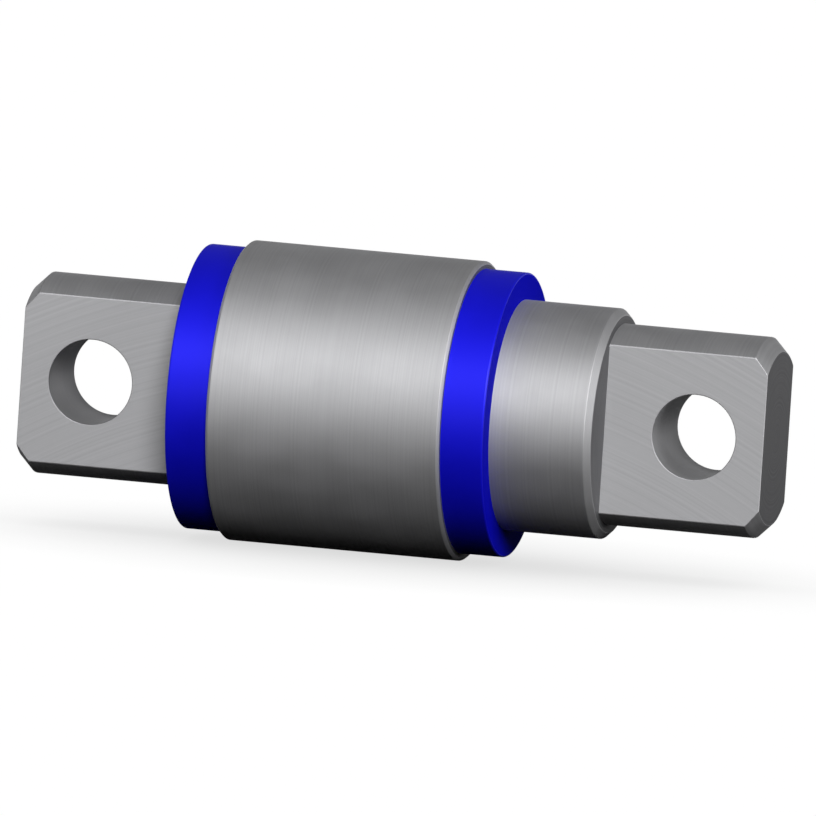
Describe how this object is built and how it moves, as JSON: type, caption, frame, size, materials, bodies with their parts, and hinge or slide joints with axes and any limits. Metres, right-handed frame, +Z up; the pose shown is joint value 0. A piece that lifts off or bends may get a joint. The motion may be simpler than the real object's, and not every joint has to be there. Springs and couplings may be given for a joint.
{
  "type": "rubber metal bush",
  "caption": "Steel bar pin with flattened, drilled ends, bonded in blue rubber inside a thin steel sleeve that presses into a rod eye.",
  "frame": {"origin": "on the pin's axis, halfway along the outer sleeve", "axes": "+X along the pin towards the end that reaches further out, Y along the bolt holes and square to the milled flats, +Z up"},
  "size_m": [0.1527, 0.06, 0.06],
  "materials": {
    "pin_steel": "turned and milled bare steel",
    "rubber": "satin moulded blue elastomer",
    "sleeve_steel": "fine turned bare steel"
  },
  "bodies": {
    "root": {"bar_pin": "pin_steel", "rubber_bush": "rubber", "outer_sleeve": "sleeve_steel"}
  },
  "joints": []
}
